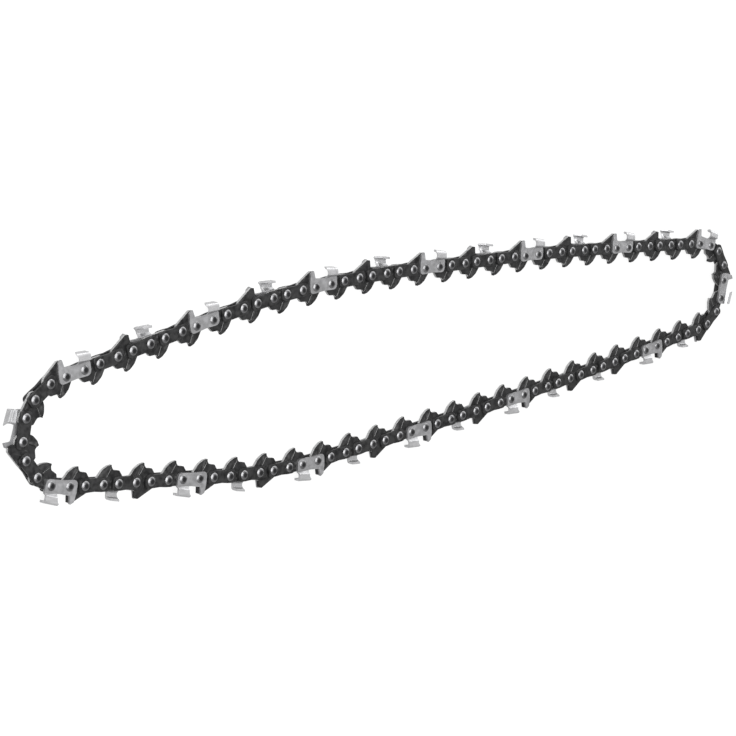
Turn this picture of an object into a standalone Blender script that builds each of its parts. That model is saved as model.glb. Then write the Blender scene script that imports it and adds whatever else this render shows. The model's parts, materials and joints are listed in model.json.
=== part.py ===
# A closed saw chain of 56 pitches, lying flat as a long loop with its cutters outward.
# Z runs along the rivets. The left cutters are on the upper side, the right cutters on the lower side.
# Lengths in the constants are millimetres, and angles are degrees.
import math

import bmesh
import bpy
import numpy as np
from mathutils import Matrix

MM = 0.001

# Chain layout
PITCH_COUNT = 56
SIDE_LENGTH = 10.05
DRIVE_LENGTH = 8.59
CUTTER_EVERY = 2
SHOWN_APART = 2

# Pitches whose cutter is a left one, on the upper side
LEFT_CUTTERS = (2, 6, 10, 14, 18, 24, 28, 30, 34, 38, 42, 46, 50, 54)
# The pitch whose trailing rivet is left open, so the loop can move as a tree of joints
OPEN_PITCH = 43

# Plates
GAUGE = 1.3
STRAP_THICKNESS = 1.25
RUNNING_GAP = 0.1
STRAP_HALF_HEIGHT = 3.1
STRAP_WAIST = 2.8
STRAP_OVERHANG = 3.3
STRAP_END_FLAT = 1.3
STRAP_CORNER = 2.0

# Rivets
RIVET_SIDES = 8
SHAFT_RADIUS = 1.6
HEAD_RADIUS = 2.2
HEAD_HEIGHT = 0.8
HEAD_TOP_RADIUS = 1.35
BORE_CLEARANCE = 0.1

# Drive link, seen with the guide bar toward +Y and travel toward +X
EAR_RADIUS = 3.3
EAR_FLAT = 1.2
EAR_CORNER = 2.0
EAR_TOP = 3.0
EAR_FRONT = 2.2
HEEL_SWELL = 0.3
HEEL_HEIGHT = 2.0
TANG_HEIGHT = 8.5
TANG_TIP = 4.6
TOE_FACE = 1.3
TOE_LEAN = 0.2
CREST_LENGTH = 2.3
CREST_DROP = 0.4
BACK_LENGTH = 5.1
BACK_DROP = 2.1
LOBE_HEIGHT = 5.8
LOBE_END = 9.0
LOBE_LENGTH = 3.2
LOBE_ROUND = 0.4
LOBE_RISE = 0.3
BUMPER_HEIGHT = 7.7
BUMPER_BACK = 0.4
BUMPER_FLAT = 1.9
BUMPER_ROOT = 4.3
BUMPER_ROUND = 0.5

# Cutter
CUTTER_FRONT = 4.3
CUTTER_REAR = -3.1
CUTTER_HEIGHT = 8.6
RELIEF_DROP = 1.1
CUTTER_LEAD = 4.0
CUTTER_OFFSET = 1.3
BEND_START = 3.3
BEND_END = 5.1
TOP_PLATE_THICKNESS = 1.1
INNER_FILLET = 0.6
WORKING_CORNER = 1.3
ROOT_DEPTH = 1.2
ROOT_INSET = 0.03
TOP_PLATE_REACH = 4.0
TOP_PLATE_ANGLE = 30.0
FILE_RADIUS = 2.9
FILE_DEPTH = 3.2
FILE_SIDES = 14
GAUGE_DEPTH = 0.65
GAUGE_ROOT = 9.5
GAUGE_TIP = 12.4
GAUGE_FILLET = 1.15
GAUGE_ROUND = 0.9
GAUGE_NOSE = 5.3

# The loop that the rivets lie on, seen from above, before it is fitted to the chain's length
ROUTE = (
    (-242.2, 9.6), (-244.4, -0.2), (-243.2, -8.6), (-237.8, -16.8), (-230.8, -21.8), (-220.9, -24.1),
    (-157.0, -33.8), (-120.0, -39.2), (-83.0, -41.5), (-46.0, -40.9), (28.0, -38.0), (102.0, -33.9),
    (176.0, -28.4), (214.0, -24.9), (224.0, -24.1), (232.0, -21.3), (239.4, -14.9), (243.1, -6.8),
    (244.4, 2.9), (242.9, 12.6), (236.4, 19.4), (227.5, 23.2), (217.0, 24.4), (152.0, 30.6), (88.0, 35.8),
    (13.0, 39.5), (-24.0, 41.2), (-62.0, 41.5), (-98.5, 40.1), (-136.0, 35.7), (-210.3, 25.0),
    (-228.7, 22.0), (-237.2, 16.6),
)
CURVE_STEPS = 60
FIT_ROUNDS = 30

WELD_DISTANCE = 0.000001
FLAT_ANGLE = 0.001

COLOURS = {
    "cutter": (0.36, 0.36, 0.37),
    "strap": (0.045, 0.045, 0.048),
    "drive": (0.055, 0.055, 0.058),
    "rivet": (0.08, 0.08, 0.085),
}
ROUGHNESS = {"cutter": 0.38, "strap": 0.45, "drive": 0.5, "rivet": 0.25}
METALLIC = 0.85

INNER_FACE = GAUGE / 2 + RUNNING_GAP
OUTER_FACE = INNER_FACE + STRAP_THICKNESS
UPPER_OUTER_FACE = OUTER_FACE + CUTTER_OFFSET


def clear_scene():
    for obj in list(bpy.data.objects):
        bpy.data.objects.remove(obj, do_unlink=True)


def make_collections():
    chain = bpy.data.collections.new("saw_chain")
    cutters = bpy.data.collections.new("cutting_tools")
    bpy.context.scene.collection.children.link(chain)
    bpy.context.scene.collection.children.link(cutters)
    cutters.hide_render = True
    return chain, cutters


def material(name, kind):
    found = bpy.data.materials.get(name)
    if found:
        return found
    made = bpy.data.materials.new(name)
    made.use_nodes = True
    shader = made.node_tree.nodes["Principled BSDF"]
    shader.inputs["Base Color"].default_value = (*COLOURS[kind], 1.0)
    shader.inputs["Roughness"].default_value = ROUGHNESS[kind]
    shader.inputs["Metallic"].default_value = METALLIC
    return made


def baked(obj):
    """Replace the object by a mesh of what the viewport shows, about the world's origin, with its seams welded."""
    bpy.context.view_layer.update()
    seen = obj.evaluated_get(bpy.context.evaluated_depsgraph_get())
    mesh = bpy.data.meshes.new_from_object(seen)
    mesh.transform(obj.matrix_world)
    work = bmesh.new()
    work.from_mesh(mesh)
    bmesh.ops.remove_doubles(work, verts=work.verts, dist=WELD_DISTANCE)
    bmesh.ops.dissolve_limit(work, angle_limit=FLAT_ANGLE, verts=work.verts, edges=work.edges)
    work.to_mesh(mesh)
    work.free()
    made = bpy.data.objects.new(obj.name + "_solid", mesh)
    for collection in obj.users_collection:
        collection.objects.link(made)
    bpy.data.objects.remove(obj, do_unlink=True)
    return made


def plate(name, outline, low, high, tools):
    """A flat outline in X and Y, given a thickness from low to high in Z."""
    curve = bpy.data.curves.new(name, "CURVE")
    curve.dimensions = "2D"
    curve.fill_mode = "BOTH"
    curve.extrude = (high - low) / 2 * MM
    spline = curve.splines.new("POLY")
    spline.points.add(len(outline) - 1)
    for point, (x, y) in zip(spline.points, outline):
        point.co = (x * MM, y * MM, 0.0, 1.0)
    spline.use_cyclic_u = True
    obj = bpy.data.objects.new(name, curve)
    obj.location.z = (low + high) / 2 * MM
    tools.objects.link(obj)
    return baked(obj)


def turned(name, profile, x, tools, sides=RIVET_SIDES):
    """A profile of radius and height turned about an axis along Z at x."""
    mesh = bpy.data.meshes.new(name)
    points = [(r * MM, 0.0, z * MM) for r, z in profile]
    mesh.from_pydata(points, [(i, i + 1) for i in range(len(points) - 1)], [])
    obj = bpy.data.objects.new(name, mesh)
    obj.rotation_euler.z = math.pi / sides
    tools.objects.link(obj)
    screw = obj.modifiers.new("turn", "SCREW")
    screw.steps = sides
    screw.render_steps = sides
    screw.use_merge_vertices = True
    screw.merge_threshold = WELD_DISTANCE
    obj.location.x = x * MM
    return baked(obj)


def combine(obj, tool, operation):
    """Join, cut or intersect obj with tool, and remove the tool."""
    step = obj.modifiers.new(operation.lower(), "BOOLEAN")
    step.operation = operation
    step.solver = "EXACT"
    step.object = tool
    made = baked(obj)
    bpy.data.objects.remove(tool, do_unlink=True)
    return made


def whole_rivet(x, tools, under_head=0.0):
    """A rivet with a shaft and two heads. under_head lifts the heads off the plates."""
    base = OUTER_FACE + under_head
    top = OUTER_FACE + HEAD_HEIGHT
    profile = [
        (0.0, top),
        (HEAD_TOP_RADIUS, top),
        (HEAD_RADIUS, base),
        (SHAFT_RADIUS, base),
        (SHAFT_RADIUS, -base),
        (HEAD_RADIUS, -base),
        (HEAD_TOP_RADIUS, -top),
        (0.0, -top),
    ]
    return turned("rivet", profile, x, tools)


def joined_rivet(x, tools):
    """A rivet whose heads sink a little into the plates that it will be joined with."""
    return whole_rivet(x, tools, -RUNNING_GAP)


def rivet_stub(x, side, tools):
    """The head of a rivet without its shaft between the plates, for the open pivot."""
    top = OUTER_FACE + HEAD_HEIGHT
    root = OUTER_FACE - RUNNING_GAP
    profile = [(0.0, top), (HEAD_TOP_RADIUS, top), (HEAD_RADIUS, root), (0.0, root)]
    if side < 0:
        profile = [(r, -z) for r, z in reversed(profile)]
    return turned("stub", profile, x, tools)


def bore(x, tools, clearance=BORE_CLEARANCE):
    """A cutter for the hole round a shaft, with its flats clear of the shaft's corners."""
    radius = SHAFT_RADIUS / math.cos(math.pi / RIVET_SIDES) + clearance
    reach = 2 * UPPER_OUTER_FACE
    return turned("bore", [(0.0, reach), (radius, reach), (radius, -reach), (0.0, -reach)], x, tools)


def strap_outline():
    """A tie strap: ends nearly round, waisted between its rivets."""
    left = -STRAP_OVERHANG
    right = SIDE_LENGTH + STRAP_OVERHANG
    middle = SIDE_LENGTH / 2
    return [
        (left, -STRAP_END_FLAT),
        (left + STRAP_CORNER, -STRAP_HALF_HEIGHT),
        (middle, -STRAP_WAIST),
        (right - STRAP_CORNER, -STRAP_HALF_HEIGHT),
        (right, -STRAP_END_FLAT),
        (right, STRAP_END_FLAT),
        (right - STRAP_CORNER, STRAP_HALF_HEIGHT),
        (left + STRAP_CORNER, STRAP_HALF_HEIGHT),
        (left, STRAP_END_FLAT),
    ]


def drive_outline(bumper):
    """A drive link: two ears, a hooked tang toward the guide bar and, on half of them, a bumper."""
    front = DRIVE_LENGTH + EAR_RADIUS
    outline = [(-EAR_RADIUS, -EAR_FLAT), (-EAR_CORNER, -EAR_TOP)]
    if bumper:
        outline += [
            (BUMPER_BACK, -BUMPER_ROOT),
            (BUMPER_BACK, -BUMPER_HEIGHT + BUMPER_ROUND),
            (BUMPER_BACK + BUMPER_FLAT, -BUMPER_HEIGHT),
        ]
    outline += [
        (DRIVE_LENGTH + EAR_CORNER, -EAR_TOP),
        (front, -EAR_FLAT),
        (front, EAR_FRONT),
        (LOBE_END + LOBE_ROUND, LOBE_HEIGHT - LOBE_ROUND),
        (LOBE_END - LOBE_ROUND, LOBE_HEIGHT),
        (LOBE_END - LOBE_LENGTH, LOBE_HEIGHT + LOBE_RISE),
        (TANG_TIP + TOE_LEAN, TANG_HEIGHT - TOE_FACE),
        (TANG_TIP, TANG_HEIGHT),
        (TANG_TIP - CREST_LENGTH, TANG_HEIGHT - CREST_DROP),
        (TANG_TIP - BACK_LENGTH, TANG_HEIGHT - BACK_DROP),
        (-EAR_RADIUS - HEEL_SWELL, HEEL_HEIGHT),
    ]
    return outline


def cutter_base_outline():
    """The flat part of a cutter: its foot on both rivets, the gullet and the depth gauge."""
    left = -STRAP_OVERHANG
    right = SIDE_LENGTH + CUTTER_LEAD
    gauge_top = CUTTER_HEIGHT - GAUGE_DEPTH
    return [
        (left, -STRAP_END_FLAT),
        (CUTTER_REAR, -BEND_START),
        (SIDE_LENGTH / 2, -BEND_START),
        (GAUGE_ROOT, -BEND_START - GAUGE_FILLET),
        (GAUGE_ROOT + GAUGE_FILLET, -BEND_START - 2 * GAUGE_FILLET),
        (GAUGE_TIP - GAUGE_ROUND, -gauge_top + GAUGE_ROUND / 2),
        (GAUGE_TIP, -gauge_top),
        (GAUGE_TIP + GAUGE_ROUND, -gauge_top + GAUGE_ROUND),
        (right, -GAUGE_NOSE),
        (right, STRAP_END_FLAT / 2),
        (right - STRAP_CORNER, STRAP_HALF_HEIGHT),
        (left + STRAP_CORNER, STRAP_HALF_HEIGHT),
        (left, STRAP_END_FLAT),
    ]


def formed_section():
    """The cutter's cross section in height and Z: foot, outward bend, side plate and top plate."""
    lip = UPPER_OUTER_FACE - TOP_PLATE_REACH
    return [
        (BEND_START - ROOT_DEPTH, INNER_FACE + ROOT_INSET),
        (BEND_START + ROOT_INSET, INNER_FACE + ROOT_INSET),
        (BEND_END, INNER_FACE + CUTTER_OFFSET),
        (CUTTER_HEIGHT - TOP_PLATE_THICKNESS - INNER_FILLET, INNER_FACE + CUTTER_OFFSET),
        (CUTTER_HEIGHT - TOP_PLATE_THICKNESS, INNER_FACE + CUTTER_OFFSET - INNER_FILLET),
        (CUTTER_HEIGHT - TOP_PLATE_THICKNESS, lip),
        (CUTTER_HEIGHT, lip),
        (CUTTER_HEIGHT, UPPER_OUTER_FACE - WORKING_CORNER),
        (CUTTER_HEIGHT - WORKING_CORNER / 4, UPPER_OUTER_FACE - WORKING_CORNER / 4),
        (CUTTER_HEIGHT - WORKING_CORNER, UPPER_OUTER_FACE),
        (BEND_END, UPPER_OUTER_FACE),
        (BEND_START + ROOT_INSET, OUTER_FACE - ROOT_INSET),
        (BEND_START - ROOT_DEPTH, OUTER_FACE - ROOT_INSET),
    ]


def laid(obj, rows):
    """Turn a solid about the origin: rows give where its X, Y and Z go."""
    obj.data.transform(Matrix(rows).transposed().to_4x4())
    if Matrix(rows).determinant() < 0:
        obj.data.flip_normals()


def round_file(tools):
    """The file that hollows the tooth's front, its axis along the ground face and just ahead of it."""
    reach = 2 * CUTTER_HEIGHT
    profile = [(0.0, reach), (FILE_RADIUS, reach), (FILE_RADIUS, -reach), (0.0, -reach)]
    file = turned("file", profile, 0.0, tools, FILE_SIDES)
    slant = math.radians(TOP_PLATE_ANGLE)
    ahead = math.sqrt(FILE_RADIUS**2 - (FILE_DEPTH - TOP_PLATE_THICKNESS) ** 2) / math.cos(slant)
    place = (CUTTER_FRONT + ahead, FILE_DEPTH - CUTTER_HEIGHT, UPPER_OUTER_FACE)
    file.data.transform(Matrix.Rotation(slant, 4, "Y"))
    file.data.transform(Matrix.Translation([value * MM for value in place]))
    return file


def cutter_solid(tools):
    """A left cutter: flat foot and depth gauge, with the formed tooth joined to it."""
    foot = plate("foot", cutter_base_outline(), INNER_FACE, OUTER_FACE, tools)
    length = CUTTER_FRONT - CUTTER_REAR
    tooth = plate("tooth", formed_section(), CUTTER_REAR, CUTTER_FRONT + TOP_PLATE_REACH, tools)
    laid(tooth, ((0, -1, 0), (0, 0, 1), (1, 0, 0)))
    # The bend and the top of the tooth both fall toward its rear
    for vertex in tooth.data.vertices:
        height = -vertex.co.y / MM
        share = min(1.0, max(0.0, height - BEND_START) / (BEND_END - BEND_START))
        behind = (CUTTER_FRONT - vertex.co.x / MM) / length
        vertex.co.y += RELIEF_DROP * share * behind * MM
    # The front is ground at an angle, furthest forward at the outer corner
    slant = math.tan(math.radians(TOP_PLATE_ANGLE))
    margin = 1.0
    outer = UPPER_OUTER_FACE + margin
    inner = outer - TOP_PLATE_REACH - 2 * margin
    beyond = CUTTER_FRONT + 2 * TOP_PLATE_REACH
    front = [
        (CUTTER_FRONT + margin * slant, outer),
        (CUTTER_FRONT + margin * slant - (outer - inner) * slant, inner),
        (beyond, inner),
        (beyond, outer),
    ]
    grind = plate("grind", front, -CUTTER_HEIGHT, 2 * CUTTER_HEIGHT, tools)
    laid(grind, ((1, 0, 0), (0, 0, 1), (0, -1, 0)))
    tooth = combine(tooth, grind, "DIFFERENCE")
    tooth = combine(tooth, round_file(tools), "DIFFERENCE")
    return combine(foot, tooth, "UNION")


def mirrored(obj, name, tools):
    """A copy of obj mirrored through the chain's middle plane."""
    made = copied(obj, name, tools)
    laid(made, ((1, 0, 0), (0, 1, 0), (0, 0, -1)))
    return made


def copied(obj, name, tools):
    made = bpy.data.objects.new(name, obj.data.copy())
    tools.objects.link(made)
    return made


def side_link(kind, tools, open_end=False):
    """Two plates joined by two rivets. kind is left_cutter, right_cutter or tie_straps."""
    upper = plate("upper", strap_outline(), INNER_FACE, OUTER_FACE, tools)
    lower = plate("lower", strap_outline(), -OUTER_FACE, -INNER_FACE, tools)
    if kind == "left_cutter":
        bpy.data.objects.remove(upper, do_unlink=True)
        upper = cutter_solid(tools)
    if kind == "right_cutter":
        bpy.data.objects.remove(lower, do_unlink=True)
        first = cutter_solid(tools)
        lower = mirrored(first, "lower", tools)
        bpy.data.objects.remove(first, do_unlink=True)
    if open_end:
        upper = combine(upper, rivet_stub(0.0, 1, tools), "UNION")
        lower = combine(lower, rivet_stub(0.0, -1, tools), "UNION")
    else:
        upper = combine(upper, joined_rivet(0.0, tools), "UNION")
    link = combine(upper, joined_rivet(SIDE_LENGTH, tools), "UNION")
    return combine(link, lower, "UNION")


def drive_link(bumper, tools, bores):
    link = plate("drive", drive_outline(bumper), -GAUGE / 2, GAUGE / 2, tools)
    for x in bores:
        link = combine(link, bore(x, tools), "DIFFERENCE")
    return link


def smooth_loop(points):
    """A closed smooth curve through the points, as many short steps."""
    route = np.array(points, dtype=float)
    rows = []
    for i in range(len(route)):
        before, here, there, after = (route[(i + k) % len(route)] for k in (-1, 0, 1, 2))
        reach = [np.linalg.norm(q - p) ** 0.5 for p, q in ((before, here), (here, there), (there, after))]
        slope_here = (here - before) / reach[0] - (there - before) / (reach[0] + reach[1])
        slope_here = (slope_here + (there - here) / reach[1]) * reach[1]
        slope_there = (there - here) / reach[1] - (after - here) / (reach[1] + reach[2])
        slope_there = (slope_there + (after - there) / reach[2]) * reach[1]
        for step in range(CURVE_STEPS):
            t = step / CURVE_STEPS
            rows.append(
                (2 * t**3 - 3 * t**2 + 1) * here
                + (t**3 - 2 * t**2 + t) * slope_here
                + (-2 * t**3 + 3 * t**2) * there
                + (t**3 - t**2) * slope_there
            )
    return np.array(rows)


def link_lengths():
    return [SIDE_LENGTH if i % 2 == 0 else DRIVE_LENGTH for i in range(2 * PITCH_COUNT)]


def walk(loop):
    """Places the rivets along the loop, each at its link's straight length from the last."""
    count = len(loop)
    places = [loop[0]]
    index = 0
    travelled = 0.0
    for length in link_lengths():
        here = places[-1]
        while True:
            a = loop[index % count]
            b = loop[(index + 1) % count]
            if np.linalg.norm(b - here) >= length:
                break
            index += 1
        along = b - a
        offset = a - here
        qa = along @ along
        qb = 2 * (offset @ along)
        qc = offset @ offset - length**2
        t = (-qb + math.sqrt(max(0.0, qb * qb - 4 * qa * qc))) / (2 * qa)
        places.append(a + t * along)
        travelled = index + t
    return places, travelled - count


def rivet_places():
    """The 112 rivets on the loop, scaled until the chain closes exactly."""
    base = smooth_loop(ROUTE)
    small, large = 0.5, 2.0
    for _ in range(FIT_ROUNDS):
        middle = (small + large) / 2
        _, excess = walk(base * middle)
        if excess > 0:
            small = middle
        else:
            large = middle
    places, _ = walk(base * (small + large) / 2)
    return places[:-1]


def turn_of(places, link):
    """The direction of a link in the plane, as an angle about Z."""
    start = places[link % len(places)]
    end = places[(link + 1) % len(places)]
    return math.atan2(end[1] - start[1], end[0] - start[0])


def put(obj, name, place, angle, kind, chain):
    """Give a finished solid its name, place and material. Its origin stays on its trailing rivet."""
    obj.data.name = name
    for collection in list(obj.users_collection):
        collection.objects.unlink(obj)
    chain.objects.link(obj)
    obj.name = name
    obj.location = (place[0] * MM, place[1] * MM, 0.0)
    obj.rotation_euler = (0.0, 0.0, angle)
    obj.data.materials.clear()
    obj.data.materials.append(material(name + "_finish", kind))
    return obj


def kind_of(pitch):
    if pitch % CUTTER_EVERY:
        return "tie_straps"
    return "left_cutter" if pitch in LEFT_CUTTERS else "right_cutter"


def joined_pitch(pitch, places, parts, chain, tools):
    """A side link and the drive link ahead of it, joined at the rivet between them."""
    kind = kind_of(pitch)
    source = parts["open"] if pitch == OPEN_PITCH else parts[kind]
    side = copied(source, "side", tools)
    bumper = kind != "tie_straps"
    drive = copied(parts["bumper" if bumper else "plain"], "drive", tools)
    bend = turn_of(places, 2 * pitch + 1) - turn_of(places, 2 * pitch)
    drive.location = (SIDE_LENGTH * MM, 0.0, 0.0)
    drive.rotation_euler = (0.0, 0.0, bend)
    made = combine(side, drive, "UNION")
    name = f"pitch_{pitch:02d}_{kind}"
    colour = "drive" if kind == "tie_straps" else "cutter"
    put(made, name, places[2 * pitch], turn_of(places, 2 * pitch), colour, chain)


def pitch_apart(pitch, places, chain, tools):
    """One pitch with its cutter, tie strap, two rivets and drive link as separate pieces."""
    start = places[2 * pitch]
    angle = turn_of(places, 2 * pitch)
    cutter = cutter_solid(tools)
    strap = plate("strap", strap_outline(), -OUTER_FACE, -INNER_FACE, tools)
    for x in (0.0, SIDE_LENGTH):
        cutter = combine(cutter, bore(x, tools), "DIFFERENCE")
        strap = combine(strap, bore(x, tools), "DIFFERENCE")
    put(cutter, f"left_cutter_{pitch:02d}", start, angle, "cutter", chain)
    put(strap, f"tie_strap_{pitch:02d}", start, angle, "strap", chain)
    for x, word, place in ((0.0, "trailing", start), (SIDE_LENGTH, "leading", places[2 * pitch + 1])):
        rivet = whole_rivet(0.0, tools, RUNNING_GAP)
        put(rivet, f"{word}_rivet_{pitch:02d}", place, angle, "rivet", chain)
    drive = drive_link(True, tools, (0.0, DRIVE_LENGTH))
    place = places[2 * pitch + 1]
    put(drive, f"drive_link_{pitch:02d}", place, turn_of(places, 2 * pitch + 1), "drive", chain)


def rest_on_floor(chain):
    """Move the whole chain so the middle of its underside is at the origin."""
    bpy.context.view_layer.update()
    corners = [obj.matrix_world @ vertex.co for obj in chain.objects for vertex in obj.data.vertices]
    low = [min(corner[axis] for corner in corners) for axis in range(3)]
    high = [max(corner[axis] for corner in corners) for axis in range(3)]
    for obj in chain.objects:
        obj.location.x -= (low[0] + high[0]) / 2
        obj.location.y -= (low[1] + high[1]) / 2
        obj.location.z -= low[2]


def build():
    clear_scene()
    chain, tools = make_collections()
    places = rivet_places()
    parts = {kind: side_link(kind, tools) for kind in ("left_cutter", "right_cutter", "tie_straps")}
    parts["open"] = side_link("tie_straps", tools, open_end=True)
    parts["bumper"] = drive_link(True, tools, (DRIVE_LENGTH,))
    parts["plain"] = drive_link(False, tools, (DRIVE_LENGTH,))
    for pitch in range(PITCH_COUNT):
        if pitch == SHOWN_APART:
            pitch_apart(pitch, places, chain, tools)
        else:
            joined_pitch(pitch, places, parts, chain, tools)
    for part in parts.values():
        bpy.data.objects.remove(part, do_unlink=True)
    rest_on_floor(chain)


build()
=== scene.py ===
import json
import math

import bmesh
import bpy
import numpy as np
from mathutils import Matrix, Vector


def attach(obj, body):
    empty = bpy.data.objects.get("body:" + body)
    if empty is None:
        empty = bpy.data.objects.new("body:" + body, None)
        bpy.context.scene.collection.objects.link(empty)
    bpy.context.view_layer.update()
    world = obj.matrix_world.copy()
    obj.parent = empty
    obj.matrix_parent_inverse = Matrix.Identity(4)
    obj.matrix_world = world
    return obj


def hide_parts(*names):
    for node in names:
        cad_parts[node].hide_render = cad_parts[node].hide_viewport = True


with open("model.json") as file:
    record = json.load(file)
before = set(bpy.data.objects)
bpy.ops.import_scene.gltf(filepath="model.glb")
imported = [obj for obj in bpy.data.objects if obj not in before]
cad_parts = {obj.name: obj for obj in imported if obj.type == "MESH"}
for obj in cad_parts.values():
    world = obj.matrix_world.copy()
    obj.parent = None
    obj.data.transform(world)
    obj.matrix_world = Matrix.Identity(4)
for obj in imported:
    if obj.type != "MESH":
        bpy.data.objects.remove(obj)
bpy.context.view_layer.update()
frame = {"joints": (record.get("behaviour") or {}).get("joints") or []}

MM = 0.001

# Chain layout, as in the model. A pitch is a pair of side plates and the drive link ahead of it.
# Even pitches carry a cutter, a left one where listed here and a right one elsewhere.
# The fitted loop is laid so that the anchor pitch's trailing rivet is on its hinge.
PITCH_COUNT = 56
SIDE_LENGTH = 10.05
DRIVE_LENGTH = 8.59
LEFT_CUTTERS = (2, 6, 10, 14, 18, 24, 28, 30, 34, 38, 42, 46, 50, 54)
OPEN_PITCH = 43
PITCH_APART = 2
ANCHOR_PITCH = 20
RIVET_LEVEL = 3.3

# Plates and rivets, with Z from the chain's middle plane
DRIVE_THICKNESS = 1.3
STRAP_THICKNESS = 1.25
RUNNING_GAP = 0.1
INNER_FACE = DRIVE_THICKNESS / 2 + RUNNING_GAP
OUTER_FACE = INNER_FACE + STRAP_THICKNESS
STRAP_HALF_HEIGHT = 3.1
STRAP_WAIST = 2.8
STRAP_OVERHANG = 3.3
STRAP_CORNER = 2.7
SHOULDER_PLACE = 1.2
SHAFT_RADIUS = 1.6
BORE_RADIUS = 1.72
HEAD_RADIUS = 2.18
HEAD_HEIGHT = 0.78
HEAD_RIM = 0.05
HEAD_SEAT = 0.02
HEAD_GAP = 0.01
DOME_FULLNESS = 3.4
DOME_STEPS = (0.0, 0.15, 0.3, 0.45, 0.6, 0.72, 0.83, 0.92, 0.97)
PLATE_BEVEL = 0.12
FINE_BEVEL = 0.1

# Drive link, with the guide bar toward +Y and travel toward +X
EAR_RADIUS = 3.3
GROOVE_DEPTH = 0.38
GROOVE_OUTLINE = ((1.9, 3.2), (4.3, 7.1), (4.75, 6.8), (2.35, 2.9))
GROOVE_CORNER = 0.15
TANG_HEIGHT = 8.5
TANG_TIP = 4.6
TOE_NOTCH_DEPTH = 2.3
LOBE_HEIGHT = 5.8
LOBE_END = 9.0
LOBE_LENGTH = 3.2
BUMPER_HEIGHT = 7.7
BUMPER_BACK = 0.4
BUMPER_FLAT = 1.9

# Cutter, with X from its trailing rivet and heights away from the guide bar.
# The tooth steps outward at the bend, and its top plate drops toward the rear by the relief.
# The file's axis lies at FILE_DEPTH below the top. The depth gauge's tip is GAUGE_DEPTH below the top.
CUTTER_FRONT = 4.3
CUTTER_REAR = -3.1
CUTTER_HEIGHT = 8.6
RELIEF_DROP = 1.1
CUTTER_LEAD = 4.0
CUTTER_OFFSET = 1.3
UPPER_OUTER_FACE = OUTER_FACE + CUTTER_OFFSET
BEND_START = 3.3
BEND_END = 5.1
BEND_RADIUS = 0.6
SECTION_OVERLAP = 1.2
SECTION_INSET = 0.02
TOP_PLATE_THICKNESS = 1.1
WORKING_CORNER = 1.5
TOP_PLATE_REACH = 4.0
TOP_PLATE_ANGLE = 30.0
FILE_RADIUS = 2.9
FILE_DEPTH = 3.2
GULLET_RADIUS = 2.6
GAUGE_DEPTH = 0.65
GAUGE_ROOT = 10.6
GAUGE_TIP = 11.4
GAUGE_LENGTH = 2.0
GAUGE_SLOPE = 1.2
GULLET_RISE = 0.75
FOOT_CORNER = 2.9

# The loop that the rivets lie on, seen from above, before it is fitted to the chain's length
ROUTE = (
    (-242.2, 9.6), (-244.4, -0.2), (-243.2, -8.6), (-237.8, -16.8), (-230.8, -21.8), (-220.9, -24.1),
    (-157.0, -33.8), (-120.0, -39.2), (-83.0, -41.5), (-46.0, -40.9), (28.0, -38.0), (102.0, -33.9),
    (176.0, -28.4), (214.0, -24.9), (224.0, -24.1), (232.0, -21.3), (239.4, -14.9), (243.1, -6.8),
    (244.4, 2.9), (242.9, 12.6), (236.4, 19.4), (227.5, 23.2), (217.0, 24.4), (152.0, 30.6), (88.0, 35.8),
    (13.0, 39.5), (-24.0, 41.2), (-62.0, 41.5), (-98.5, 40.1), (-136.0, 35.7), (-210.3, 25.0),
    (-228.7, 22.0), (-237.2, 16.6),
)
CURVE_STEPS = 60
FIT_ROUNDS = 30

# Mesh making: the arcs of outlines, welding in metres, and angles in degrees unless named otherwise
ARC_SHARE = 0.45
SMALLEST_ARC = 0.02
NEARLY_STRAIGHT = 88.0
WELD_DISTANCE = 1e-6
FLAT_ANGLE_RADIANS = 0.002
SCREW_WELD = 1e-7
ROUND_SIDES = 32
BORE_SIDES = 24
BEVEL_ANGLE = 35.0
HEAD_SHARP_ANGLE = 40.0

# Steel: noise scales per metre, a shift of the noise from piece to piece, and the relief in metres
BLOTCH_SCALE = 420.0
GRAIN_SCALE = 2600.0
SCRATCH_SCALE = 900.0
SCRATCH_STRETCH = (0.12, 1.0, 1.0)
PIECE_SPREAD = 40.0
RELIEF_DISTANCE = 0.00005

# Camera, in metres and degrees
CAMERA_PLACE = (-0.8191, 0.2432, 0.7742)
CAMERA_AIM = (-0.0386, -0.0032, 0.0033)
CAMERA_ROLL = 101.65
CAMERA_LENS = 114.4
SENSOR_WIDTH = 36.0

# Floor, backdrop and lamps, in metres. A lamp has a place, a width, a height and a radiance
FLOOR_SIZE = 12.0
FLOOR_LEVEL = -0.0002
FLOOR_TONE = 0.95
FLOOR_GLOW = 0.9
WORLD_LIGHT = 0.25
LAMP_AIM = (0.0, 0.0, 0.0)
LAMPS = (
    ("front_strip", (-0.48, 0.18, 0.68), 1.0, 0.85, 7.0),
    ("far_strip", (1.12, 0.63, 0.36), 1.8, 0.85, 3.2),
    ("upper_strip", (-0.14, 1.28, 0.42), 2.0, 0.9, 2.8),
)


def smooth_loop(points):
    """A closed smooth curve through the points, as many short steps."""
    route = np.array(points, dtype=float)
    rows = []
    for i in range(len(route)):
        before, here, there, after = (route[(i + k) % len(route)] for k in (-1, 0, 1, 2))
        reach = [np.linalg.norm(q - p) ** 0.5 for p, q in ((before, here), (here, there), (there, after))]
        slope_here = (here - before) / reach[0] - (there - before) / (reach[0] + reach[1])
        slope_here = (slope_here + (there - here) / reach[1]) * reach[1]
        slope_there = (there - here) / reach[1] - (after - here) / (reach[1] + reach[2])
        slope_there = (slope_there + (after - there) / reach[2]) * reach[1]
        for step in range(CURVE_STEPS):
            t = step / CURVE_STEPS
            rows.append(
                (2 * t**3 - 3 * t**2 + 1) * here
                + (t**3 - 2 * t**2 + t) * slope_here
                + (-2 * t**3 + 3 * t**2) * there
                + (t**3 - t**2) * slope_there
            )
    return np.array(rows)


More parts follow.
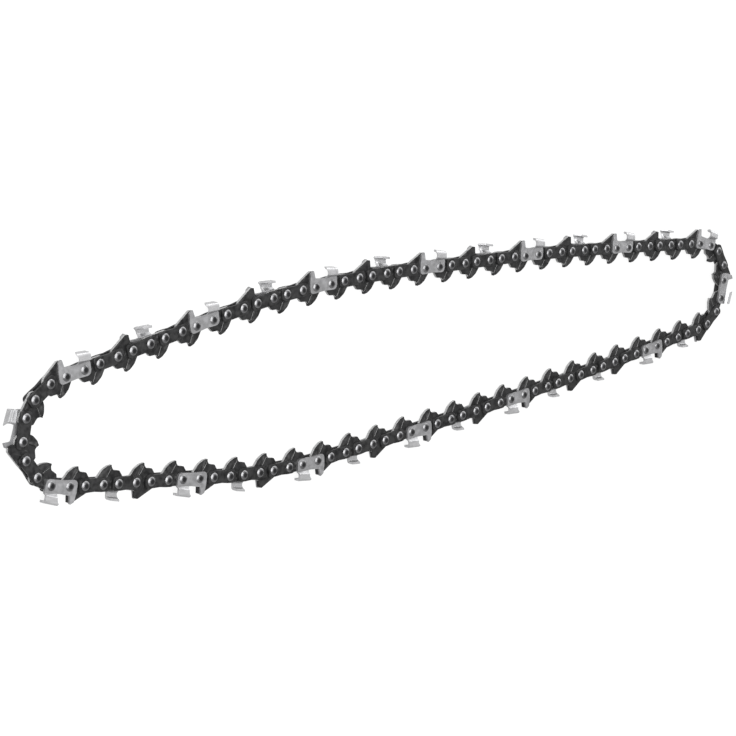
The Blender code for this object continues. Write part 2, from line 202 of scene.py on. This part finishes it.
def walk(loop):
    """Places the rivets along the loop, each at its link's straight length from the last."""
    count = len(loop)
    places = [loop[0]]
    index = 0
    travelled = 0.0
    for link in range(2 * PITCH_COUNT):
        length = DRIVE_LENGTH if link % 2 else SIDE_LENGTH
        here = places[-1]
        while np.linalg.norm(loop[(index + 1) % count] - here) < length:
            index += 1
        a = loop[index % count]
        along = loop[(index + 1) % count] - a
        offset = a - here
        qa = along @ along
        qb = 2 * (offset @ along)
        qc = offset @ offset - length**2
        t = (-qb + math.sqrt(max(0.0, qb * qb - 4 * qa * qc))) / (2 * qa)
        places.append(a + t * along)
        travelled = index + t
    return places, travelled - count


def rivet_places():
    """The rivets on the loop, scaled until the chain closes, then set where the frame's hinges are."""
    base = smooth_loop(ROUTE)
    small, large = 0.5, 2.0
    for _ in range(FIT_ROUNDS):
        middle = (small + large) / 2
        _, excess = walk(base * middle)
        if excess > 0:
            small = middle
        else:
            large = middle
    places, _ = walk(base * (small + large) / 2)
    places = np.array(places[:-1])
    hinge = next(j for j in frame["joints"] if j["name"] == f"hinge_{ANCHOR_PITCH:02d}")
    return places + np.array(hinge["pos_m"][:2]) / MM - places[2 * ANCHOR_PITCH]


PLACES = rivet_places()


def link_matrix(link):
    """Where a link's own frame is: origin on its trailing rivet, X toward its leading rivet."""
    start = PLACES[link % len(PLACES)]
    end = PLACES[(link + 1) % len(PLACES)]
    angle = math.atan2(end[1] - start[1], end[0] - start[0])
    place = Matrix.Translation((start[0] * MM, start[1] * MM, RIVET_LEVEL * MM))
    return place @ Matrix.Rotation(angle, 4, "Z")


# Mesh tools


def rounded(points, steps=4):
    """The outline with each corner turned into an arc. A point is X, Y and its corner's radius."""
    out = []
    count = len(points)
    for i, point in enumerate(points):
        here = Vector(point[:2])
        before = Vector(points[i - 1][:2]) - here
        after = Vector(points[(i + 1) % count][:2]) - here
        half = before.angle(after) / 2
        reach = min(point[2] / math.tan(half), before.length * ARC_SHARE, after.length * ARC_SHARE)
        if reach < SMALLEST_ARC or half > math.radians(NEARLY_STRAIGHT):
            out.append(tuple(here))
            continue
        first = here + before.normalized() * reach
        last = here + after.normalized() * reach
        for step in range(steps + 1):
            t = step / steps
            place = first * (1 - t) ** 2 + here * 2 * t * (1 - t) + last * t**2
            out.append(tuple(place))
    return out


def cleaned(mesh):
    """Weld a mesh's doubled points and join its flat faces."""
    work = bmesh.new()
    work.from_mesh(mesh)
    bmesh.ops.remove_doubles(work, verts=work.verts, dist=WELD_DISTANCE)
    bmesh.ops.dissolve_limit(work, angle_limit=FLAT_ANGLE_RADIANS, verts=work.verts, edges=work.edges)
    work.to_mesh(mesh)
    work.free()


def baked(obj):
    """A mesh object of what the viewport shows, about the world's origin."""
    bpy.context.view_layer.update()
    seen = obj.evaluated_get(bpy.context.evaluated_depsgraph_get())
    mesh = bpy.data.meshes.new_from_object(seen)
    mesh.transform(obj.matrix_world)
    cleaned(mesh)
    made = bpy.data.objects.new(obj.name, mesh)
    bpy.context.scene.collection.objects.link(made)
    bpy.data.objects.remove(obj, do_unlink=True)
    return made


def plate(outline, low, high):
    """A flat outline in X and Y, given a thickness from low to high in Z."""
    curve = bpy.data.curves.new("outline", "CURVE")
    curve.dimensions = "2D"
    curve.fill_mode = "BOTH"
    curve.extrude = (high - low) / 2 * MM
    spline = curve.splines.new("POLY")
    spline.points.add(len(outline) - 1)
    for point, (x, y) in zip(spline.points, outline):
        point.co = (x * MM, y * MM, 0.0, 1.0)
    spline.use_cyclic_u = True
    obj = bpy.data.objects.new("outline", curve)
    obj.location.z = (low + high) / 2 * MM
    bpy.context.scene.collection.objects.link(obj)
    return baked(obj)


def turned(profile, x=0.0, sides=ROUND_SIDES):
    """A profile of radius and height turned about an axis along Z at x."""
    mesh = bpy.data.meshes.new("profile")
    points = [(r * MM, 0.0, z * MM) for r, z in profile]
    mesh.from_pydata(points, [(i, i + 1) for i in range(len(points) - 1)], [])
    obj = bpy.data.objects.new("profile", mesh)
    bpy.context.scene.collection.objects.link(obj)
    screw = obj.modifiers.new("turn", "SCREW")
    screw.steps = sides
    screw.render_steps = sides
    screw.use_merge_vertices = True
    screw.merge_threshold = SCREW_WELD
    obj.location.x = x * MM
    return baked(obj)


def laid(obj, rows):
    """Turn a solid about the origin: rows give where its X, Y and Z go."""
    obj.data.transform(Matrix(rows).transposed().to_4x4())
    if Matrix(rows).determinant() < 0:
        obj.data.flip_normals()


def combine(obj, tool, operation):
    """Cut the tool from a solid or join it on. The tool is used up."""
    step = obj.modifiers.new(operation.lower(), "BOOLEAN")
    step.operation = operation
    step.solver = "EXACT"
    step.object = tool
    made = baked(obj)
    bpy.data.objects.remove(tool, do_unlink=True)
    return made


def softened(obj, name, width):
    """Round the sharp edges over and let the flats keep their own normals. Returns the finished mesh."""
    obj.data.shade_smooth()
    bevel = obj.modifiers.new("edge", "BEVEL")
    bevel.width = width * MM
    bevel.segments = 2
    bevel.limit_method = "ANGLE"
    bevel.angle_limit = math.radians(BEVEL_ANGLE)
    bevel.use_clamp_overlap = True
    even = obj.modifiers.new("even", "WEIGHTED_NORMAL")
    even.weight = 100
    even.keep_sharp = True
    bpy.context.view_layer.update()
    seen = obj.evaluated_get(bpy.context.evaluated_depsgraph_get())
    mesh = bpy.data.meshes.new_from_object(seen)
    bpy.data.objects.remove(obj, do_unlink=True)
    mesh.name = name
    return mesh


# The chain's pieces, each about its own trailing rivet


def strap_outline():
    """A tie strap from its side, with round ends and a slight waist."""
    left = -STRAP_OVERHANG
    right = SIDE_LENGTH + STRAP_OVERHANG
    middle = SIDE_LENGTH / 2
    return rounded([
        (left, -STRAP_HALF_HEIGHT, STRAP_CORNER),
        (SHOULDER_PLACE, -STRAP_HALF_HEIGHT, 2.0),
        (middle, -STRAP_WAIST, 4.0),
        (SIDE_LENGTH - SHOULDER_PLACE, -STRAP_HALF_HEIGHT, 2.0),
        (right, -STRAP_HALF_HEIGHT, STRAP_CORNER),
        (right, STRAP_HALF_HEIGHT, STRAP_CORNER),
        (left, STRAP_HALF_HEIGHT, STRAP_CORNER),
    ], steps=7)


def tie_strap_mesh(name, side):
    """A tie strap on the upper side, or on the lower side where side is -1."""
    low, high = sorted((side * INNER_FACE, side * OUTER_FACE))
    return softened(plate(strap_outline(), low, high), name, PLATE_BEVEL)


def drive_outline(bumper):
    """A drive link from its side: two ears, the hooked tang with its toe, and the bumper where it has one."""
    lead = DRIVE_LENGTH
    outer = [(lead + 2.2, -EAR_RADIUS + 0.2, 2.0)]
    if bumper:
        outer = [
            (BUMPER_BACK - 0.3, -EAR_RADIUS - 0.6, 0.5),
            (BUMPER_BACK, -BUMPER_HEIGHT + 0.4, 0.35),
            (BUMPER_BACK + BUMPER_FLAT, -BUMPER_HEIGHT, 0.6),
            (lead + 1.9, -EAR_RADIUS, 1.6),
        ]
    return rounded([
        (-EAR_RADIUS, -1.3, 1.8),
        (-1.9, -EAR_RADIUS + 0.2, 1.6),
        *outer,
        (lead + EAR_RADIUS, -1.2, 1.8),
        (lead + EAR_RADIUS, 2.2, 1.2),
        (LOBE_END + 0.25, LOBE_HEIGHT - 0.1, 0.7),
        (LOBE_END - LOBE_LENGTH, LOBE_HEIGHT + 0.25, 1.3),
        (TANG_TIP + 0.3, TANG_HEIGHT - TOE_NOTCH_DEPTH + 1.0, 1.2),
        (TANG_TIP, TANG_HEIGHT, 0.12),
        (TANG_TIP - 2.3, TANG_HEIGHT - 0.45, 3.0),
        (TANG_TIP - 5.1, TANG_HEIGHT - 2.2, 4.0),
        (-EAR_RADIUS - 0.2, 2.4, 1.2),
    ])


def drive_link_mesh(name, bumper):
    """A drive link with its two bores and the shallow oil groove across each side of its tang."""
    link = plate(drive_outline(bumper), -DRIVE_THICKNESS / 2, DRIVE_THICKNESS / 2)
    for x in (0.0, DRIVE_LENGTH):
        drill = turned([(0.0, 2.0), (BORE_RADIUS, 2.0), (BORE_RADIUS, -2.0), (0.0, -2.0)], x, BORE_SIDES)
        link = combine(link, drill, "DIFFERENCE")
    groove = rounded([(along, inward, GROOVE_CORNER) for along, inward in GROOVE_OUTLINE])
    for side in (1, -1):
        low, high = sorted((side * (DRIVE_THICKNESS / 2 - GROOVE_DEPTH), side * DRIVE_THICKNESS))
        link = combine(link, plate(groove, low, high), "DIFFERENCE")
    return softened(link, name, FINE_BEVEL)


def cutter_base_outline():
    """A cutter's flat foot from its side, with the depth gauge at its front."""
    left = -STRAP_OVERHANG
    right = SIDE_LENGTH + CUTTER_LEAD
    gauge_top = CUTTER_HEIGHT - GAUGE_DEPTH
    return rounded([
        (left, -BEND_START, 0.8),
        (SIDE_LENGTH / 2, -BEND_START - 0.05, 3.0),
        (GAUGE_ROOT, -BEND_START - GULLET_RISE, 1.0),
        (GAUGE_TIP, -gauge_top, 0.3),
        (GAUGE_TIP + GAUGE_LENGTH, -gauge_top + GAUGE_SLOPE, 0.8),
        (right, -2.6, 1.0),
        (right, STRAP_HALF_HEIGHT, FOOT_CORNER),
        (SIDE_LENGTH / 2, STRAP_HALF_HEIGHT - 0.55, 5.0),
        (left, STRAP_HALF_HEIGHT, FOOT_CORNER),
    ], steps=6)


def formed_section():
    """The tooth's section in height and Z: outward bend, side plate, working corner and top plate."""
    lip = UPPER_OUTER_FACE - TOP_PLATE_REACH
    inner = INNER_FACE + CUTTER_OFFSET
    foot_inner = INNER_FACE + SECTION_INSET
    foot_outer = OUTER_FACE - SECTION_INSET
    return rounded([
        (BEND_START - SECTION_OVERLAP, foot_inner, 0.02),
        (BEND_START + 0.2, foot_inner, BEND_RADIUS),
        (BEND_END, inner, BEND_RADIUS),
        (CUTTER_HEIGHT - TOP_PLATE_THICKNESS, inner, 0.8),
        (CUTTER_HEIGHT - TOP_PLATE_THICKNESS, lip, 0.05),
        (CUTTER_HEIGHT, lip, 0.1),
        (CUTTER_HEIGHT, UPPER_OUTER_FACE, WORKING_CORNER),
        (BEND_END - 0.1, UPPER_OUTER_FACE, BEND_RADIUS),
        (BEND_START, foot_outer, BEND_RADIUS),
        (BEND_START - SECTION_OVERLAP, foot_outer, 0.02),
    ], steps=6)


def left_cutter():
    """A left cutter: flat foot and depth gauge, with the formed, ground and filed tooth joined to it."""
    foot = plate(cutter_base_outline(), INNER_FACE, OUTER_FACE)
    length = CUTTER_FRONT - CUTTER_REAR
    turn = math.radians(TOP_PLATE_ANGLE)
    toe_end = CUTTER_FRONT + GULLET_RADIUS / math.cos(turn)
    gullet_level = BEND_START + GULLET_RADIUS
    tooth = plate(formed_section(), CUTTER_REAR, toe_end)
    laid(tooth, ((0, -1, 0), (0, 0, 1), (1, 0, 0)))
    for vertex in tooth.data.vertices:
        height = -vertex.co.y / MM
        share = min(1.0, max(0.0, height - BEND_START) / (BEND_END - BEND_START))
        behind = (CUTTER_FRONT - vertex.co.x / MM) / length
        vertex.co.y += RELIEF_DROP * share * behind * MM
    slant = math.tan(turn)
    margin = 1.0
    outer = UPPER_OUTER_FACE + margin
    inner = outer - TOP_PLATE_REACH - 2 * margin
    beyond = CUTTER_FRONT + 2 * TOP_PLATE_REACH
    front = [
        (CUTTER_FRONT + margin * slant, outer),
        (CUTTER_FRONT + margin * slant - (outer - inner) * slant, inner),
        (beyond, inner),
        (beyond, outer),
    ]
    grind = plate(front, gullet_level, 2 * CUTTER_HEIGHT)
    laid(grind, ((1, 0, 0), (0, 0, 1), (0, -1, 0)))
    tooth = combine(tooth, grind, "DIFFERENCE")
    reach = math.sqrt(FILE_RADIUS**2 - (FILE_DEPTH - TOP_PLATE_THICKNESS) ** 2)
    rounds = (
        (GULLET_RADIUS, toe_end, gullet_level),
        (FILE_RADIUS, CUTTER_FRONT + reach / math.cos(turn), CUTTER_HEIGHT - FILE_DEPTH),
    )
    far = 3 * FILE_RADIUS
    for radius, x, height in rounds:
        round_file = turned([(0.0, far), (radius, far), (radius, -far), (0.0, -far)])
        round_file.data.transform(Matrix.Rotation(turn, 4, "Y"))
        round_file.data.transform(Matrix.Translation((x * MM, -height * MM, UPPER_OUTER_FACE * MM)))
        tooth = combine(tooth, round_file, "DIFFERENCE")
    return combine(foot, tooth, "UNION")


def cutter_mesh(name, side):
    """A left cutter, or its mirror image on the lower side where side is -1."""
    cutter = left_cutter()
    if side < 0:
        laid(cutter, ((1, 0, 0), (0, 1, 0), (0, 0, -1)))
    return softened(cutter, name, FINE_BEVEL)


def head_profile():
    """A spun rivet head from its axis out to the plate: one round dome with a thin rim."""
    rows = []
    for share in DOME_STEPS:
        rise = (HEAD_HEIGHT - HEAD_RIM) * (1 - share**DOME_FULLNESS)
        rows.append((HEAD_RADIUS * share, OUTER_FACE + HEAD_RIM + rise))
    rows.append((HEAD_RADIUS, OUTER_FACE + HEAD_RIM))
    rows.append((HEAD_RADIUS, OUTER_FACE + HEAD_GAP))
    return rows


def rivet_mesh(name, shaft):
    """A rivet with both its heads. Without its shaft, only the two heads are left."""
    seat = OUTER_FACE + HEAD_SEAT
    upper = head_profile()
    lower = [(r, -z) for r, z in reversed(upper)]
    if shaft:
        made = turned(upper + [(SHAFT_RADIUS, seat), (SHAFT_RADIUS, -seat)] + lower)
    else:
        made = turned(upper + [(0.0, seat)])
        made = combine(made, turned([(0.0, -seat)] + lower), "UNION")
    mesh = made.data
    bpy.data.objects.remove(made, do_unlink=True)
    mesh.name = name
    mesh.shade_smooth()
    mesh.set_sharp_from_angle(angle=math.radians(HEAD_SHARP_ANGLE))
    return mesh


# Materials


def socket(group, name, direction, kind, value=None):
    made = group.interface.new_socket(name=name, in_out=direction, socket_type=kind)
    if value is not None:
        made.default_value = value
    return made


def steel_group():
    """Blackened or bare steel: mottled tone, fine scratches, edges worn brighter (real wear that also serves
    as a painted highlight), and upright walls facing along Y painted lighter as a painted highlight.
    """
    group = bpy.data.node_groups.new("worked_steel", "ShaderNodeTree")
    socket(group, "Tone", "INPUT", "NodeSocketColor", (0.1, 0.1, 0.1, 1.0))
    socket(group, "Worn Tone", "INPUT", "NodeSocketColor", (0.4, 0.4, 0.4, 1.0))
    socket(group, "Wear", "INPUT", "NodeSocketFloat", 0.5)
    socket(group, "Base Roughness", "INPUT", "NodeSocketFloat", 0.4)
    socket(group, "Mottle", "INPUT", "NodeSocketFloat", 0.3)
    socket(group, "Wall Tone", "INPUT", "NodeSocketColor", (0.1, 0.1, 0.1, 1.0))
    socket(group, "Wall Share", "INPUT", "NodeSocketFloat", 0.0)
    socket(group, "Colour", "OUTPUT", "NodeSocketColor")
    socket(group, "Roughness", "OUTPUT", "NodeSocketFloat")
    socket(group, "Height", "OUTPUT", "NodeSocketFloat")
    nodes, links = group.nodes, group.links
    given = nodes.new("NodeGroupInput")
    out = nodes.new("NodeGroupOutput")
    place = nodes.new("ShaderNodeTexCoord")
    piece = nodes.new("ShaderNodeObjectInfo")
    spread = nodes.new("ShaderNodeMath")
    spread.operation = "MULTIPLY"
    spread.inputs[1].default_value = PIECE_SPREAD
    links.new(piece.outputs["Random"], spread.inputs[0])

    def noise(scale, detail, stretch=None):
        texture = nodes.new("ShaderNodeTexNoise")
        texture.noise_dimensions = "4D"
        texture.inputs["Scale"].default_value = scale
        texture.inputs["Detail"].default_value = detail
        links.new(spread.outputs[0], texture.inputs["W"])
        source = place.outputs["Object"]
        if stretch:
            mapping = nodes.new("ShaderNodeMapping")
            mapping.inputs["Scale"].default_value = stretch
            links.new(source, mapping.inputs["Vector"])
            source = mapping.outputs["Vector"]
        links.new(source, texture.inputs["Vector"])
        return texture.outputs["Fac"]

    def ramp(source, low, high, to_low=0.0, to_high=1.0):
        node = nodes.new("ShaderNodeMapRange")
        node.inputs["From Min"].default_value = low
        node.inputs["From Max"].default_value = high
        node.inputs["To Min"].default_value = to_low
        node.inputs["To Max"].default_value = to_high
        links.new(source, node.inputs["Value"])
        return node.outputs["Result"]

    def maths(operation, a, b):
        node = nodes.new("ShaderNodeMath")
        node.operation = operation
        for value, slot in ((a, 0), (b, 1)):
            if isinstance(value, float):
                node.inputs[slot].default_value = value
            else:
                links.new(value, node.inputs[slot])
        return node.outputs[0]

    blotch = noise(BLOTCH_SCALE, 5.0)
    grain = noise(GRAIN_SCALE, 3.0)
    scratch = noise(SCRATCH_SCALE, 2.0, SCRATCH_STRETCH)
    geometry = nodes.new("ShaderNodeNewGeometry")
    # Edges worn brighter: real wear, and also a painted highlight for the thin glints along the edges.
    edge = ramp(geometry.outputs["Pointiness"], 0.52, 0.60)
    broken = maths("MULTIPLY", edge, ramp(blotch, 0.35, 0.6))
    wear_and_glint_mask = maths("MULTIPLY", broken, given.outputs["Wear"])
    shade = ramp(blotch, 0.3, 0.7, -1.0, 1.0)
    fine = ramp(grain, 0.3, 0.7, -0.6, 0.6)
    tone_shift = maths("MULTIPLY", maths("ADD", shade, fine), given.outputs["Mottle"])
    brightness = maths("ADD", tone_shift, 1.0)
    toned = nodes.new("ShaderNodeMix")
    toned.data_type = "RGBA"
    toned.blend_type = "MULTIPLY"
    toned.inputs["Factor"].default_value = 1.0
    links.new(given.outputs["Tone"], toned.inputs["A"])
    links.new(brightness, toned.inputs["B"])
    final = nodes.new("ShaderNodeMix")
    final.data_type = "RGBA"
    links.new(wear_and_glint_mask, final.inputs["Factor"])
    links.new(toned.outputs["Result"], final.inputs["A"])
    links.new(given.outputs["Worn Tone"], final.inputs["B"])
    # Painted highlight: upright walls facing along Y get a lighter tone, standing in for the light those
    # walls catch.
    split = nodes.new("ShaderNodeSeparateXYZ")
    links.new(place.outputs["Normal"], split.inputs[0])
    upright = maths("ABSOLUTE", split.outputs["Z"], 0.0)
    across = ramp(maths("ABSOLUTE", split.outputs["Y"], 0.0), 0.3, 0.5)
    wall_highlight = maths("MULTIPLY", ramp(upright, 0.75, 0.4), maths("MULTIPLY", across, given.outputs["Wall Share"]))
    wall_highlight = maths("MULTIPLY", wall_highlight, ramp(blotch, 0.25, 0.5, 0.55, 1.0))
    highlighted = nodes.new("ShaderNodeMix")
    highlighted.data_type = "RGBA"
    links.new(wall_highlight, highlighted.inputs["Factor"])
    links.new(final.outputs["Result"], highlighted.inputs["A"])
    links.new(given.outputs["Wall Tone"], highlighted.inputs["B"])
    links.new(highlighted.outputs["Result"], out.inputs["Colour"])
    rough = maths("ADD", given.outputs["Base Roughness"], ramp(scratch, 0.3, 0.7, -0.06, 0.09))
    links.new(rough, out.inputs["Roughness"])
    height = maths("ADD", maths("MULTIPLY", scratch, 0.6), maths("MULTIPLY", grain, 0.4))
    links.new(height, out.inputs["Height"])
    return group


STEEL = steel_group()


def steel(
    name, tone, wear_and_glint_tone, roughness, metallic, wear_and_glint=0.5, mottle=0.3, bump=0.4, specular=0.5, painted_wall_highlight=None
):
    """A steel finish. The last argument gives the tone and share of a painted highlight: upright walls facing
    along Y are made lighter than the faces.
    """
    made = bpy.data.materials.new(name)
    made.use_nodes = True
    nodes, links = made.node_tree.nodes, made.node_tree.links
    shader = nodes["Principled BSDF"]
    surface = nodes.new("ShaderNodeGroup")
    surface.node_tree = STEEL
    surface.inputs["Tone"].default_value = (*tone, 1.0)
    surface.inputs["Worn Tone"].default_value = (*wear_and_glint_tone, 1.0)
    surface.inputs["Wear"].default_value = wear_and_glint
    surface.inputs["Base Roughness"].default_value = roughness
    surface.inputs["Mottle"].default_value = mottle
    if painted_wall_highlight:
        surface.inputs["Wall Tone"].default_value = (*painted_wall_highlight[0], 1.0)
        surface.inputs["Wall Share"].default_value = painted_wall_highlight[1]
    links.new(surface.outputs["Colour"], shader.inputs["Base Color"])
    links.new(surface.outputs["Roughness"], shader.inputs["Roughness"])
    shader.inputs["Metallic"].default_value = metallic
    shader.inputs["Specular IOR Level"].default_value = specular
    relief = nodes.new("ShaderNodeBump")
    relief.inputs["Strength"].default_value = bump
    relief.inputs["Distance"].default_value = RELIEF_DISTANCE
    links.new(surface.outputs["Height"], relief.inputs["Height"])
    links.new(relief.outputs["Normal"], shader.inputs["Normal"])
    return made


def two_tones(made, tone, bounds):
    """Mix a second tone in where a point on the piece is past every bound: measure, start and end."""
    nodes, links = made.node_tree.nodes, made.node_tree.links
    surface = next(node for node in nodes if node.type == "GROUP")
    place = nodes.new("ShaderNodeTexCoord")
    split = nodes.new("ShaderNodeSeparateXYZ")
    links.new(place.outputs["Object"], split.inputs[0])
    flat = nodes.new("ShaderNodeCombineXYZ")
    links.new(split.outputs["X"], flat.inputs["X"])
    links.new(split.outputs["Y"], flat.inputs["Y"])
    radius = nodes.new("ShaderNodeVectorMath")
    radius.operation = "LENGTH"
    links.new(flat.outputs[0], radius.inputs[0])
    measures = {"X": split.outputs["X"], "Y": split.outputs["Y"], "R": radius.outputs["Value"]}
    total = None
    for measure, low, high in bounds:
        share = nodes.new("ShaderNodeMapRange")
        share.inputs["From Min"].default_value = low * MM
        share.inputs["From Max"].default_value = high * MM
        links.new(measures[measure], share.inputs["Value"])
        if total is None:
            total = share.outputs["Result"]
        else:
            both = nodes.new("ShaderNodeMath")
            both.operation = "MULTIPLY"
            links.new(total, both.inputs[0])
            links.new(share.outputs["Result"], both.inputs[1])
            total = both.outputs[0]
    mix = nodes.new("ShaderNodeMix")
    mix.data_type = "RGBA"
    mix.inputs["A"].default_value = surface.inputs["Tone"].default_value
    mix.inputs["B"].default_value = (*tone, 1.0)
    links.new(total, mix.inputs["Factor"])
    links.new(mix.outputs["Result"], surface.inputs["Tone"])


CUTTER_STEEL = steel(
    "chromed_cutter", (0.2, 0.2, 0.204), (0.4, 0.4, 0.41), 0.44, 0.85, wear_and_glint=0.3, mottle=0.08, bump=0.15,
)
# Painted highlight: the tooth above the bend, behind the gauge root, gets a lighter tone for the brighter
# reflection its tilted plate shows.
two_tones(CUTTER_STEEL, (0.335, 0.335, 0.34), (
    ("Y", -BEND_START, -BEND_END),
    ("X", GAUGE_ROOT - 0.5, GAUGE_ROOT - 1.5),
))
# Both blackened finishes below paint upright walls facing along Y lighter than the faces: a painted
# highlight.
BLACK_STEEL = steel(
    "blackened_plate", (0.0065, 0.0065, 0.0068), (0.08, 0.08, 0.08), 0.42, 0.0,
    mottle=0.2, specular=0.08, painted_wall_highlight=((0.15, 0.15, 0.15), 0.04),
)
TANG_STEEL = steel(
    "blackened_drive_link", (0.0075, 0.0075, 0.0078), (0.1, 0.1, 0.1), 0.4, 0.0,
    wear_and_glint=0.35, mottle=0.15, specular=0.08, painted_wall_highlight=((0.2, 0.2, 0.2), 0.9),
)
RIVET_STEEL = steel(
    "spun_rivet", (0.018, 0.018, 0.019), (0.15, 0.15, 0.15), 0.3, 0.9, wear_and_glint=0.1, mottle=0.15, bump=0.1,
)
# Painted highlight: the head's outer ring gets a lighter tone than its dark middle, standing in for the sheen
# its sloped rim catches.
two_tones(RIVET_STEEL, (0.13, 0.13, 0.133), (("R", 0.8, 1.9),))


# The finished chain


def placed(name, mesh, matrix, finish, body, nodes):
    """One piece of the chain at its place, riding on its body and standing for its node."""
    if not mesh.materials:
        mesh.materials.append(finish)
    piece = bpy.data.objects.new(name, mesh)
    piece.matrix_world = matrix
    bpy.context.scene.collection.objects.link(piece)
    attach(piece, body)
    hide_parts(*nodes)
    return piece


def dress_chain():
    """All 56 pitches, each with two plates, two rivets and a drive link."""
    meshes = {
        "upper_strap": tie_strap_mesh("upper_strap", 1),
        "lower_strap": tie_strap_mesh("lower_strap", -1),
        "left_cutter": cutter_mesh("left_cutter", 1),
        "right_cutter": cutter_mesh("right_cutter", -1),
        "bumper_link": drive_link_mesh("bumper_link", True),
        "plain_link": drive_link_mesh("plain_link", False),
        "rivet": rivet_mesh("rivet", True),
        "open_rivet": rivet_mesh("open_rivet", False),
    }
    for pitch in range(PITCH_COUNT):
        side = link_matrix(2 * pitch)
        drive = link_matrix(2 * pitch + 1)
        kind = "tie_straps"
        if pitch % 2 == 0:
            kind = "left_cutter" if pitch in LEFT_CUTTERS else "right_cutter"
        if pitch == PITCH_APART:
            side_body, drive_body = f"side_link_{pitch:02d}", f"drive_link_{pitch:02d}_body"
            nodes = {
                "upper": [f"left_cutter_{pitch:02d}"],
                "lower": [f"tie_strap_{pitch:02d}"],
                "trailing": [f"trailing_rivet_{pitch:02d}"],
                "leading": [f"leading_rivet_{pitch:02d}"],
                "drive": [f"drive_link_{pitch:02d}"],
            }
        else:
            side_body = drive_body = f"pitch_{pitch:02d}"
            whole = [f"pitch_{pitch:02d}_{kind}"]
            nodes = {word: whole for word in ("upper", "lower", "trailing", "leading", "drive")}
        for word, cutter in (("upper", "left_cutter"), ("lower", "right_cutter")):
            if kind == cutter:
                mesh, finish, slot = meshes[cutter], CUTTER_STEEL, "cutter_steel"
            else:
                mesh, finish, slot = meshes[word + "_strap"], BLACK_STEEL, "dark_steel"
            placed(f"{word}_plate_{pitch:02d}", mesh, side, finish, side_body, nodes[word])
        for word, x in (("trailing", 0.0), ("leading", SIDE_LENGTH)):
            is_open = pitch == OPEN_PITCH and word == "trailing"
            mesh = meshes["open_rivet" if is_open else "rivet"]
            place = side @ Matrix.Translation((x * MM, 0.0, 0.0))
            placed(f"{word}_pin_{pitch:02d}", mesh, place, RIVET_STEEL, side_body, nodes[word])
        mesh = meshes["plain_link" if kind == "tie_straps" else "bumper_link"]
        placed(f"drive_{pitch:02d}", mesh, drive, TANG_STEEL, drive_body, nodes["drive"])


def seen_by_camera(nodes, links):
    """1 for rays from the camera, mirrors and glass, else 0."""
    path = nodes.new("ShaderNodeLightPath")
    both = nodes.new("ShaderNodeMath")
    both.operation = "MAXIMUM"
    links.new(path.outputs["Is Camera Ray"], both.inputs[0])
    links.new(path.outputs["Is Glossy Ray"], both.inputs[1])
    third = nodes.new("ShaderNodeMath")
    third.operation = "MAXIMUM"
    links.new(both.outputs[0], third.inputs[0])
    links.new(path.outputs["Is Transmission Ray"], third.inputs[1])
    return third.outputs[0]


def make_floor():
    """A pale floor that looks white from the camera and in mirrors, without more light on the chain."""
    place = (0.0, 0.0, FLOOR_LEVEL)
    bpy.ops.mesh.primitive_grid_add(x_subdivisions=2, y_subdivisions=2, size=FLOOR_SIZE, location=place)
    floor = bpy.context.active_object
    floor.name = "studio_floor"
    made = bpy.data.materials.new("white_floor")
    made.use_nodes = True
    nodes, links = made.node_tree.nodes, made.node_tree.links
    shader = nodes["Principled BSDF"]
    shader.inputs["Base Color"].default_value = (FLOOR_TONE, FLOOR_TONE, FLOOR_TONE, 1.0)
    shader.inputs["Roughness"].default_value = 1.0
    shader.inputs["Specular IOR Level"].default_value = 0.0
    glow = nodes.new("ShaderNodeEmission")
    mix = nodes.new("ShaderNodeMixShader")
    amount = nodes.new("ShaderNodeMath")
    amount.operation = "MULTIPLY"
    amount.inputs[1].default_value = FLOOR_GLOW
    links.new(seen_by_camera(nodes, links), amount.inputs[0])
    links.new(amount.outputs[0], mix.inputs[0])
    links.new(shader.outputs[0], mix.inputs[1])
    links.new(glow.outputs[0], mix.inputs[2])
    links.new(mix.outputs[0], nodes["Material Output"].inputs["Surface"])
    floor.data.materials.append(made)


def make_world():
    """A white backdrop for the camera and mirrors, with less light of its own."""
    world = bpy.data.worlds.new("studio")
    bpy.context.scene.world = world
    world.use_nodes = True
    nodes, links = world.node_tree.nodes, world.node_tree.links
    background = nodes["Background"]
    background.inputs["Color"].default_value = (1.0, 1.0, 1.0, 1.0)
    level = nodes.new("ShaderNodeMapRange")
    level.inputs["To Min"].default_value = WORLD_LIGHT
    level.inputs["To Max"].default_value = 1.0
    links.new(seen_by_camera(nodes, links), level.inputs["Value"])
    links.new(level.outputs["Result"], background.inputs["Strength"])


def strip_light(name, place, width, height, brightness):
    """A flat lamp. brightness is its radiance, so its size alone doesn't change its glare."""
    data = bpy.data.lights.new(name, "AREA")
    data.shape = "RECTANGLE"
    data.size = width
    data.size_y = height
    data.energy = brightness * math.pi * width * height
    lamp = bpy.data.objects.new(name, data)
    lamp.location = place
    lamp.rotation_euler = (Vector(LAMP_AIM) - Vector(place)).to_track_quat("-Z", "Y").to_euler()
    lamp.visible_camera = False
    bpy.context.scene.collection.objects.link(lamp)


def make_camera():
    data = bpy.data.cameras.new("camera")
    data.lens = CAMERA_LENS
    data.sensor_width = SENSOR_WIDTH
    data.clip_start = 0.01
    camera = bpy.data.objects.new("camera", data)
    back = (Vector(CAMERA_PLACE) - Vector(CAMERA_AIM)).normalized()
    right = Vector((0.0, 0.0, 1.0)).cross(back).normalized()
    up = back.cross(right)
    level = Matrix((right, up, back)).transposed().to_4x4()
    roll = Matrix.Rotation(math.radians(CAMERA_ROLL), 4, "Z")
    camera.matrix_world = Matrix.Translation(CAMERA_PLACE) @ level @ roll
    bpy.context.scene.collection.objects.link(camera)
    bpy.context.scene.camera = camera


make_camera()
make_world()
make_floor()
for lamp in LAMPS:
    strip_light(*lamp)
dress_chain()
bpy.context.scene.view_settings.view_transform = "Standard"
